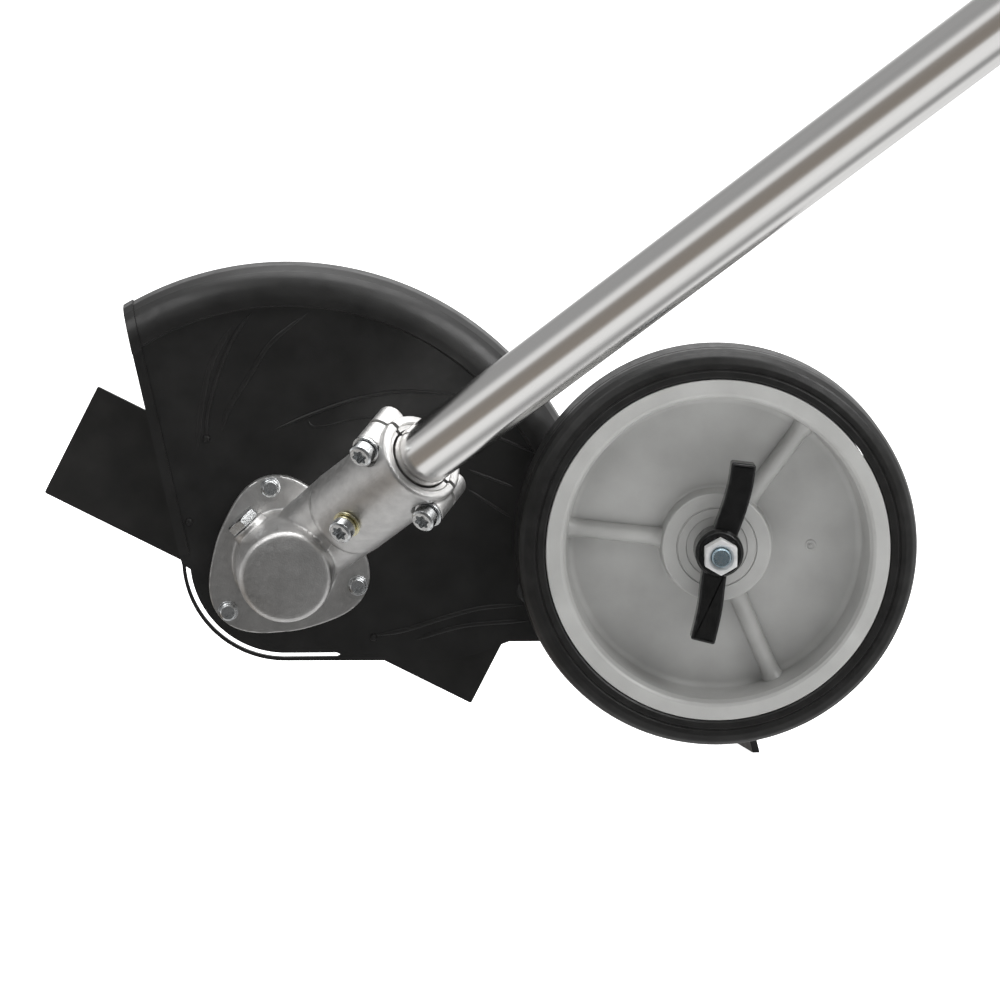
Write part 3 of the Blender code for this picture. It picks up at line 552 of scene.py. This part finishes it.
# ---- guard -------------------------------------------------------------------------------
GUARD_CENTRE = (0.0008, -0.0100)
GUARD_OUTLINE = ([(-0.0722, 0.127), (-0.0680, 0.108), (-0.0444, 0.0015)]
                 + arc((0, 0), 0.0434, 183, 270, 40)
                 + [(0.069, -0.0437), (0.080, -0.0412), (0.094, -0.0358), (0.111, -0.0358),
                    (0.111, 0.045), (0.150, 0.062), (0.150, 0.150), (-0.0722, 0.150)])
# Ridges on the plate: points (x, z) in mm, half width and height in mm; ends taper.
RIDGES = [
    ([(-13.5, 104.5), (-21.5, 93.3), (-27.8, 78.4), (-32.0, 62.3), (-32.8, 50.8)], 0.9, 0.75),
    ([(10.4, 104.5), (-5.5, 91.6), (-15.2, 76.7), (-23.2, 64.0), (-26.5, 54.2)], 1.0, 0.6),
    ([(-21.5, 99.0), (-30.3, 83.5), (-34.5, 65.7), (-36.6, 46.5)], 1.1, 0.5),
    ([(-4.3, 55.0), (12.1, 61.8), (30.1, 67.8), (49.8, 70.8), (72.0, 69.3)], 0.8, 0.9),
    ([(9.8, 60.2), (10.3, 57.6), (13.0, 56.2), (19.8, 57.0), (27.5, 59.0), (41.5, 60.1),
      (62.0, 60.6)], 0.4, 0.4),
    ([(85.5, 52.9), (105.2, 44.4)], 0.6, 0.5),
    ([(76.7, 37.6), (96.0, 30.0)], 0.6, 0.5),
    ([(76.7, 29.1), (94.7, 17.2)], 0.6, 0.5),
    ([(36.8, -32.9), (49.8, -30.7), (67.5, -25.2), (82.6, -21.4), (101.0, -20.1)], 1.0, 0.7),
    ([(54.0, -35.0), (75.0, -29.0), (103.0, -26.9)], 0.9, 0.6),
]
BOSSES = [(-40.4, 16.0), (36.8, -33.7), (-32.8, 51.2)]


def bowl(name, grow=0.0):
    """Full round bowl: flat plate, raised band, crest and fender wall; grow thickens it outwards."""
    y = PLATE
    g = grow
    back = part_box("guard_shell")[1].y
    band = through([(0.1186, y - 0.0031), (0.1215, y - 0.0027), (0.1255, y - 0.0011),
                    (0.1285, y + 0.0009), (0.1302, y + 0.0026)], 5)
    outer = ([(0.1255 + g, back, 0.0008), (0.1309 + g, y + 0.033, 0.012), (0.1335 + g, y + 0.020, 0.012),
              (0.1331 + g, y + 0.0088, 0.006), (0.1312 + g, y + 0.0038 - g / 2, 0.0012)]
             + [(r + g / 2, z - g) for r, z in band[::-1]]
             + [(0.1174 - g, y - 0.0031 - g, 0.0007), (0.1171 - g, y - g, 0.0007)])
    inner = [(0.1200, y + 0.0025), (0.1251, y + 0.0030), (0.1290, y + 0.0065), (0.1303, y + 0.020),
             (0.1277, y + 0.032), (0.1230, back, 0.0008)]
    profile = rounded([(0, y + 0.0025)] + inner + outer + [(0, y - g)], False, 4)
    where = Matrix.Translation((GUARD_CENTRE[0], 0, GUARD_CENTRE[1])) @ TO_Y
    return turned(name, profile, where, 512)


def ridge(line, half_width, height):
    """Tapered half-round ridge standing on the guard plate."""
    points = through([(x, z) for x, z in line], 8)
    count = len(points)
    loops = []
    for i, point in enumerate(points):
        ahead = Vector(points[min(i + 1, count - 1)])
        behind = Vector(points[max(i - 1, 0)])
        side = (ahead - behind).normalized().orthogonal()
        share = i / (count - 1)
        taper = min(1.0, 0.12 + 5 * share, 0.12 + 5 * (1 - share))
        loop = []
        for k in range(12):
            a = 2 * math.pi * k / 12
            shift = half_width * taper * math.cos(a)
            loop.append(((point[0] + side.x * shift) / 1000,
                         PLATE - height * taper * math.sin(a) / 1000,
                         (point[1] + side.y * shift) / 1000))
        loops.append(loop)
    return loft("ridge", loops, Matrix.Identity(4))


def guard_shell():
    y = PLATE
    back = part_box("guard_shell")[1].y
    guard = bowl("guard_moulding")
    combine(guard, [plate("limits", GUARD_OUTLINE, y - 0.02, back + 0.01)], 'INTERSECT')
    edging = bowl("edging", 0.0007)
    strip = [(-0.0722, 0.127), (-0.0680, 0.108), (-0.0444, 0.0015), (-0.0402, 0.0025),
             (-0.0637, 0.1086), (-0.0668, 0.123), (-0.0668, 0.15), (-0.0722, 0.15)]
    combine(edging, [plate("strip", strip, y - 0.02, back + 0.01)], 'INTERSECT')
    add(guard, edging)
    add(guard, *[ridge(*row) for row in RIDGES])
    for x, z in BOSSES:
        where = Matrix.Translation((x / 1000, 0, z / 1000)) @ TO_Y
        add(guard, turned("pip", rounded([(0, y - 0.0011), (0.0012, y - 0.0011, 0.0004),
                                          (0.0018, y + 0.001), (0, y + 0.001)], False, 3), where, 24))
    inner, outer = TOE_SLOT_R
    slot = (arc((0, 0), outer, 184, 270, 60)
            + [(0.0215, -outer), (0.0233, -0.0410), (0.0215, -inner)]
            + arc((0, 0), inner, 270, 186, 60))
    cut(guard, plate("slot", slot, y - 0.01, y + 0.01),
        rod("spigot_hole", SPIGOT_HOLE_R, y - 0.01, y + 0.01, TO_Y))
    for x, z in [polar(SCREW_R, a) for a in SCREW_ANGLES]:
        cut(guard, rod("screw_hole", SCREW_HOLE_R, y - 0.01, y + 0.01, along_y(x, z)))
    for x, z in BRACKET_BOLTS:
        cut(guard, rod("bolt_hole", BOLT_HOLE_R, y - 0.01, y + 0.01, along_y(x, z)))
    show(guard, "guard_shell", PLASTIC, 38)


def backing_plate():
    y = BACKING_Y
    backing = plate("guard_backing", flange_outline(0.0286), y, y + BACKING_THICKNESS, 0.0003)
    cut(backing, rod("centre", SPIGOT_HOLE_R, y - 0.01, y + 0.01, TO_Y))
    for x, z in [polar(SCREW_R, a) for a in SCREW_ANGLES]:
        cut(backing, rod("hole", SCREW_HOLE_R, y - 0.01, y + 0.01, along_y(x, z)))
    show(backing, "guard_backing_plate", BLACK_STEEL)


# ---- blade and its clamp -----------------------------------------------------------------
def blade_set():
    y = PLATE
    slope = Matrix.Rotation(BLADE_SLOPE, 4, 'Y') @ FLAT
    half_length, half_width, half_thick = BLADE_HALF
    corners = [(-half_length, -half_width, 0.0008), (half_length, -half_width, 0.0008),
               (half_length, half_width, 0.0008), (-half_length, half_width, 0.0008)]
    blade = prism("blade_steel", rounded(corners), -BLADE_Y - half_thick, -BLADE_Y + half_thick, slope,
                  0.0003)
    cut(blade, rod("arbor_hole", ARBOR_HOLE_R, -0.03, 0.0, TO_Y, 96))
    show(blade, "edger_blade", BLADE)
    outer = turned("blade_flange_disc", rounded([(0.019, y + 0.0410, 0.0004), (0.020, y + 0.0400, 0.0004),
                                                 (0.020, y + 0.0368, 0.0003), (0.0053, y + 0.0368),
                                                 (0.0053, y + 0.0410, 0.0003)]), TO_Y, 128, ring=True)
    show(outer, "blade_outer_flange", ZINC)
    nut = hex_nut("blade_nut_hex", BLADE_NUT_FLATS, 0, 0.0054, y + 0.0413, y + 0.0488, TO_Y)
    show(nut, "blade_nut", ZINC)


def hex_nut(name, flats, turn, bore, low, high, where):
    """Nut between two stations of a frame, its hexagon chamfered at both ends."""
    r = flats / math.sqrt(3)
    nut = prism(name, hexagon(flats, turn), low, high, where)
    combine(nut, [turned("chamfer", [(0, low), (flats * 0.47, low), (r, low + (r - flats * 0.47) * 0.5),
                                     (r, high - (r - flats * 0.47) * 0.5), (flats * 0.47, high),
                                     (0, high)], where, 96)], 'INTERSECT')
    cut(nut, turned("bore", [(0, low - 0.01), (bore + 0.001, low - 0.01), (bore + 0.001, low),
                             (bore, low + 0.001), (bore, high - 0.001), (bore + 0.001, high),
                             (bore + 0.001, high + 0.01), (0, high + 0.01)], where, 48))
    return nut


# ---- wheel bracket -----------------------------------------------------------------------
def bracket_lip(front):
    """Right edge folded back past square, its lower end splayed out to the right."""
    loops = []
    for z, splay in [(0.056, 0.0), (-0.073, 0.0), (-0.0850, 0.0030)]:
        back = 0.0235 - splay
        corners = [(0.1945, 0.0), (0.1975, 0.0), (0.1975 - LIP_FOLD * back, back),
                   (0.1945 - LIP_FOLD * back, back)]
        loops.append([(x + splay, front + 0.0005 + y, z) for x, y in corners])
    return loft("lip", loops, Matrix.Identity(4))


def wheel_bracket():
    front = BACKING_Y
    outline = rounded([(0.087, -0.028, 0.003), (0.150, -0.030, 0.004), (0.163, -0.046, 0.006),
                       (0.1905, -0.0725, 0.001), (0.1975, -0.0725), (0.1975, 0.056, 0.001),
                       (0.162, 0.056, 0.005), (0.150, 0.034, 0.005), (0.087, 0.034, 0.003)])
    bracket = plate("bracket_steel", outline, front, front + BACKING_THICKNESS, 0.0003)
    add(bracket, bracket_lip(front))
    top, bottom, r = HUB.z + 0.0283, HUB.z - 0.0323, 0.0044
    slot = arc((HUB.x, top), r, 0, 180, 24) + arc((HUB.x, bottom), r, 180, 360, 24)
    cut(bracket, plate("slot", slot, front - 0.01, front + 0.02))
    for x, z in BRACKET_BOLTS:
        cut(bracket, rod("hole", BOLT_HOLE_R, front - 0.01, front + 0.01, along_y(x, z)))
    show(bracket, "wheel_bracket", BLACK_STEEL)
    y = PLATE
    for i, (x, z) in enumerate(BRACKET_BOLTS, 1):
        where = along_y(x, z)
        bolt = turned(f"bracket_bolt_{i}_dome", rounded([(0, y + 0.0145), (0.003, y + 0.0145, 0.0004),
                                                         (0.003, y - 0.0003), (0.0056, y - 0.0003, 0.0003),
                                                         (0.0050, y - 0.0018, 0.001),
                                                         (0.0030, y - 0.0028, 0.002), (0, y - 0.0032)],
                                                        False), where, 64)
        show(bolt, f"bracket_bolt_{i}", BLACK_STEEL)
        nut = hex_nut(f"flange_nut_{i}_hex", SMALL_FLATS, 0, 0.0033, y + 0.0066, y + 0.0125, where)
        add(nut, turned("nut_flange", rounded([(0.0052, y + 0.0076), (0.0068, y + 0.0071, 0.0003),
                                               (0.0068, y + 0.0061, 0.0003), (0.0034, y + 0.0061),
                                               (0.0034, y + 0.0076)]), where, 64, ring=True))
        show(nut, f"bracket_flange_nut_{i}", ZINC)


# ---- wheel -------------------------------------------------------------------------------
RIB_ANGLES = [math.radians(a) for a in (53.4, 173.4, 293.4)]


def wheel_rim():
    f, back = RIM, RIM_BACK
    web = f + 0.022
    front_side = [(0.071, f + 0.0004, 0.0006), (0.0652, f, 0.0009), (0.0640, f + 0.0009, 0.0008),
                  (0.0628, f + 0.0035, 0.001), (0.0610, web, 0.0030), (0.0232, web, 0.0014),
                  (0.0226, f + 0.0098, 0.0009), (0.0168, f + 0.0096, 0.0001), (0.0166, f + 0.0101),
                  (0.0162, f + 0.0101), (0.0160, f + 0.0096, 0.0001), (0.0128, f + 0.0096, 0.0001),
                  (0.0126, f + 0.0100), (0.0063, f + 0.0100, 0.0004)]
    back_side = [(0.0063, back), (0.0222, back, 0.001), (0.0230, web + 0.003, 0.002),
                 (0.0625, web + 0.003, 0.003), (0.0662, back, 0.0008), (0.071, back, 0.0006)]
    rim = turned("wheel_moulding", rounded(front_side + back_side), AXLE, 256, ring=True)
    for angle in RIB_ANGLES:
        turn = AXLE @ Matrix.Rotation(-angle, 4, 'Z')
        loops = []
        for i in range(25):
            r = 0.0205 + 0.0425 * i / 24
            near = min(r - 0.0222, 0.0615 - r)
            flare = 0.0014 * math.exp(-max(near, 0) / 0.0016)
            half = 0.0037 + flare
            top = 0.0062 + flare
            loops.append([(r, half * math.cos(a),
                           web + 0.001 - (top + 0.001) * max(math.sin(a), 0) ** 0.75)
                          for a in [math.pi * k / 14 for k in range(15)]])
        add(rim, loft("rib", loops, turn))
    gate = AXLE @ Matrix.Translation((0.0399, 0.0014, 0))
    add(rim, turned("gate", rounded([(0.0026, web + 0.0005), (0.0022, web - 0.0004, 0.0002),
                                     (0.0016, web - 0.0004, 0.0002), (0.0012, web + 0.0005)]),
                    gate, 48, ring=True),
        turned("vestige", rounded([(0, web - 0.0007), (0.0006, web - 0.0006, 0.0003),
                                   (0.0008, web + 0.0005), (0, web + 0.0005)], False), gate, 32))
    show(rim, "wheel_rim", WHEEL, 35)


def tyre():
    f, back = RIM, RIM_BACK
    profile = rounded([(0.0713, f + 0.0010, 0.0004), (0.0722, f + 0.0004, 0.0006),
                       (0.0744, f + 0.0002, 0.0006), (0.0748, f + 0.0009, 0.0002),
                       (0.0753, f + 0.0009, 0.0002), (0.0757, f + 0.0004, 0.0006),
                       (0.0775, f + 0.0006, 0.002), (0.0803, f + 0.0020, 0.003),
                       (0.0820, f + 0.0044, 0.003),
                       (TYRE_R, f + 0.0085, 0.003), (TYRE_R, f + 0.0125, 0.0002), (0.0824, f + 0.0128),
                       (0.0824, f + 0.0134), (TYRE_R, f + 0.0137, 0.0002),
                       (TYRE_R, back - 0.0090, 0.003), (0.0818, back - 0.0040, 0.003),
                       (0.0786, back - 0.0008, 0.002), (0.0713, back - 0.0008, 0.0004)], steps=6)
    show(turned("tyre_moulding", profile, AXLE, 256, ring=True), "tyre", RUBBER)


# ---- axle and lever nut ------------------------------------------------------------------
def axle():
    f = RIM
    y = PLATE
    end = f - 0.0185
    thread = [(0.0034, end + 0.0003), (0.0038, end + 0.0009)]
    station = end + 0.0014
    while station < f - 0.002:
        thread += [(0.0040, station), (0.0036, station + 0.0006)]
        station += 0.00125
    shank = [(0, end)] + thread + [(0.0040, station), (0.0040, y + 0.0065), (0, y + 0.0065)]
    bolt = turned("axle_bolt_thread", shank, AXLE, 64)
    head = prism("head", hexagon(MIDDLE_FLATS), y + 0.0061, y + 0.0114, AXLE)
    combine(head, [turned("chamfer", [(0, y + 0.0061), (0.0076, y + 0.0061), (0.0076, y + 0.0106),
                                      (0.0060, y + 0.0114), (0, y + 0.0114)], AXLE)], 'INTERSECT')
    add(bolt, head)
    show(bolt, "axle_bolt", BLUE_ZINC)
    washer("axle_inner_ring", "axle_inner_washer", AXLE, 0.0043, 0.011, y + 0.0007, y + 0.0025, ZINC)
    washer("axle_spacer_ring", "axle_spacer", AXLE, 0.0043, 0.009, RIM_BACK + 0.0009, y + 0.0004, ZINC)
    washer("axle_outer_ring", "axle_outer_washer", AXLE, 0.0043, 0.0096, f + 0.0068, f + 0.0084, ZINC)
    nut = hex_nut("lock_nut_hex", MIDDLE_FLATS, 30, 0.0043, f - 0.0169, f - 0.0092, AXLE)
    show(nut, "lock_nut", SATIN_ZINC)


def ribbon(points, half_width):
    """Outline of even width about a line of points, with a square far end."""
    left = []
    right = []
    for i, point in enumerate(points):
        ahead = Vector(points[min(i + 1, len(points) - 1)])
        behind = Vector(points[max(i - 1, 0)])
        side = (ahead - behind).normalized().orthogonal() * half_width
        left.append((*(Vector(point) + side), 0.0030 if i == len(points) - 1 else 0.006))
        right.append((*(Vector(point) - side), 0.0030 if i == len(points) - 1 else 0.006))
    return rounded(left + right[::-1])


# Lines along the lever nut's two wings, from the axle, in x and z.
UPPER_WING = [(0.0, 0.0), (0.0031, 0.0092), (0.0063, 0.0182), (0.0088, 0.0275), (0.0101, 0.0368)]
LOWER_WING = [(0.0, 0.0), (-0.0020, -0.0105), (-0.0033, -0.0222), (-0.0048, -0.0300),
              (-0.0066, -0.0374)]
WING_HALF_WIDTH = 0.0051


def wing_nut():
    f = RIM
    low = f + 0.0065
    wing = turned("lever_moulding", rounded([(0.0100, low, 0.0005), (0.0100, f - 0.0058, 0.0012),
                                             (0.0088, f - 0.0080, 0.0008), (0.0068, f - 0.0080),
                                             (0.0068, low)]), AXLE, 96, ring=True)
    for line in (UPPER_WING, LOWER_WING):
        arm = prism("arm", ribbon(through(line, 3), WING_HALF_WIDTH), -f - 0.0058, -f + 0.0042,
                    AXLE_FLAT, 0.0016, 5)
        add(wing, arm)
    cut(wing, rod("bore", 0.0068, f - 0.02, f + 0.02, AXLE, 96))
    show(wing, "wing_nut", LEVER)


# ---- staging -----------------------------------------------------------------------------
def backdrop():
    """Large pale floor that reads as clean paper; mirrors see the sky's own lower half instead."""
    bpy.ops.mesh.primitive_plane_add(size=60, location=(0, 0, FLOOR))
    floor = bpy.context.object
    floor.name = "studio_floor"
    paper = bpy.data.materials.new("paper")
    paper.use_nodes = True
    shader = paper.node_tree.nodes["Principled BSDF"]
    shader.inputs["Base Color"].default_value = (0.9, 0.9, 0.9, 1)
    shader.inputs["Roughness"].default_value = 0.9
    shader.inputs["Emission Color"].default_value = (1, 1, 1, 1)
    shader.inputs["Emission Strength"].default_value = 1.0
    floor.data.materials.append(paper)
    floor.visible_glossy = False


def sky():
    """Studio surroundings by direction: bright overhead, underfoot, behind and at the right, dim at the
    left, and darker on the near side and in a band just behind straight down."""
    world = bpy.data.worlds.new("studio")
    scene.world = world
    world.use_nodes = True
    tree = world.node_tree
    tree.nodes.clear()
    out = tree.nodes.new("ShaderNodeOutputWorld")
    back = tree.nodes.new("ShaderNodeBackground")
    tree.links.new(back.outputs["Background"], out.inputs["Surface"])
    place = tree.nodes.new("ShaderNodeTexCoord")
    split = tree.nodes.new("ShaderNodeSeparateXYZ")
    tree.links.new(place.outputs["Generated"], split.inputs["Vector"])

    def ramp(source, stops):
        node = tree.nodes.new("ShaderNodeValToRGB")
        remap = tree.nodes.new("ShaderNodeMapRange")
        remap.inputs["From Min"].default_value = -1
        remap.inputs["From Max"].default_value = 1
        tree.links.new(source, remap.inputs["Value"])
        tree.links.new(remap.outputs["Result"], node.inputs["Fac"])
        elements = node.color_ramp.elements
        while len(elements) < len(stops):
            elements.new(0.5)
        for element, (at, colour) in zip(elements, stops):
            element.position = (at + 1) / 2
            element.color = (*colour, 1) if isinstance(colour, tuple) else (colour, colour, colour, 1)
        return node.outputs["Color"]

    def mix(kind, factor, first, second):
        node = tree.nodes.new("ShaderNodeMix")
        node.data_type = 'RGBA'
        node.blend_type = kind
        if isinstance(factor, float):
            node.inputs["Factor"].default_value = factor
        else:
            tree.links.new(factor, node.inputs["Factor"])
        tree.links.new(first, node.inputs["A"])
        tree.links.new(second, node.inputs["B"])
        return node.outputs["Result"]

    left = ramp(split.outputs["Z"], [(-1, 0.88), (-0.80, 0.88), (-0.74, (0.28, 0.25, 0.22)),
                                     (-0.30, (0.25, 0.23, 0.21)), (-0.17, 0.80), (-0.02, 0.85),
                                     (0.10, 0.34), (0.55, 0.36), (0.80, 0.7), (1, 1.0)])
    right = ramp(split.outputs["Z"], [(-1, 0.88), (-0.7, 0.80), (-0.1, 0.75), (0.0, 0.90),
                                      (0.5, 0.95), (1, 1.0)])
    front = ramp(split.outputs["Y"], [(-1, 0.20), (-0.6, 0.25), (-0.35, 0.8), (-0.2, 1.0), (0.06, 1.0),
                                      (0.14, 0.35), (0.30, 0.35), (0.42, 1.0), (1, 1.0)])
    above = ramp(split.outputs["Z"], [(-1, 0.0), (-0.90, 0.0), (-0.84, 1.0), (1, 1.0)])
    behind = ramp(split.outputs["Y"], [(-1, 0.0), (-0.02, 0.0), (0.02, 1.0), (1, 1.0)])
    front = mix('LIGHTEN', 1.0, front, mix('MULTIPLY', 1.0, above, behind))
    sides = mix('MIX', ramp(split.outputs["X"], [(-1, 0.0), (-0.35, 0.0), (0.05, 1.0), (1, 1.0)]),
                left, right)
    tree.links.new(mix('MULTIPLY', 1.0, sides, front), back.inputs["Color"])
    back.inputs["Strength"].default_value = 1.0


def softbox(name, at, size, power, target=(0.09, -0.05, 0.03)):
    light = bpy.data.lights.new(name, 'AREA')
    light.shape = 'RECTANGLE'
    light.size, light.size_y = size
    light.energy = power
    obj = bpy.data.objects.new(name, light)
    scene.collection.objects.link(obj)
    obj.location = at
    obj.rotation_euler = (Vector(at) - Vector(target)).to_track_quat('Z', 'Y').to_euler()
    return obj


def camera():
    """Long lens square on the gearcase's side of the part, a little above it."""
    data = bpy.data.cameras.new("camera")
    data.lens = 214.5
    data.sensor_width = 36
    obj = bpy.data.objects.new("camera", data)
    scene.collection.objects.link(obj)
    target = Vector((0.0901, APEX.y, 0.0249))
    elevation = math.radians(9.0)
    azimuth = math.radians(-2.06)
    away = Vector((math.sin(azimuth) * math.cos(elevation), -math.cos(azimuth) * math.cos(elevation),
                   math.sin(elevation)))
    obj.location = target + 2.5 * away
    obj.rotation_euler = away.to_track_quat('Z', 'Y').to_euler()
    data.clip_start = 0.05
    data.clip_end = 100
    scene.camera = obj
    scene.view_settings.view_transform = 'Standard'


# ---- assembly ----------------------------------------------------------------------------
drive_tube()
gear_housing()
grease_plug()
housing_screws()
guard_shell()
backing_plate()
blade_set()
wheel_bracket()
wheel_rim()
tyre()
axle()
wing_nut()
for node, obj in frame["nodes"].items():
    if not obj.hide_render:
        obj.data.materials.clear()
        obj.data.materials.append(SLOT_FINISH[SLOT_OF[node]])
backdrop()
sky()
softbox("key", (1.5, -1.0, 1.5), (1.0, 1.0), 21)
softbox("fill", (-1.0, -1.1, 1.7), (0.9, 0.9), 9)
softbox("overhead", (0.3, 0.3, 1.8), (1.6, 1.2), 17)
camera()
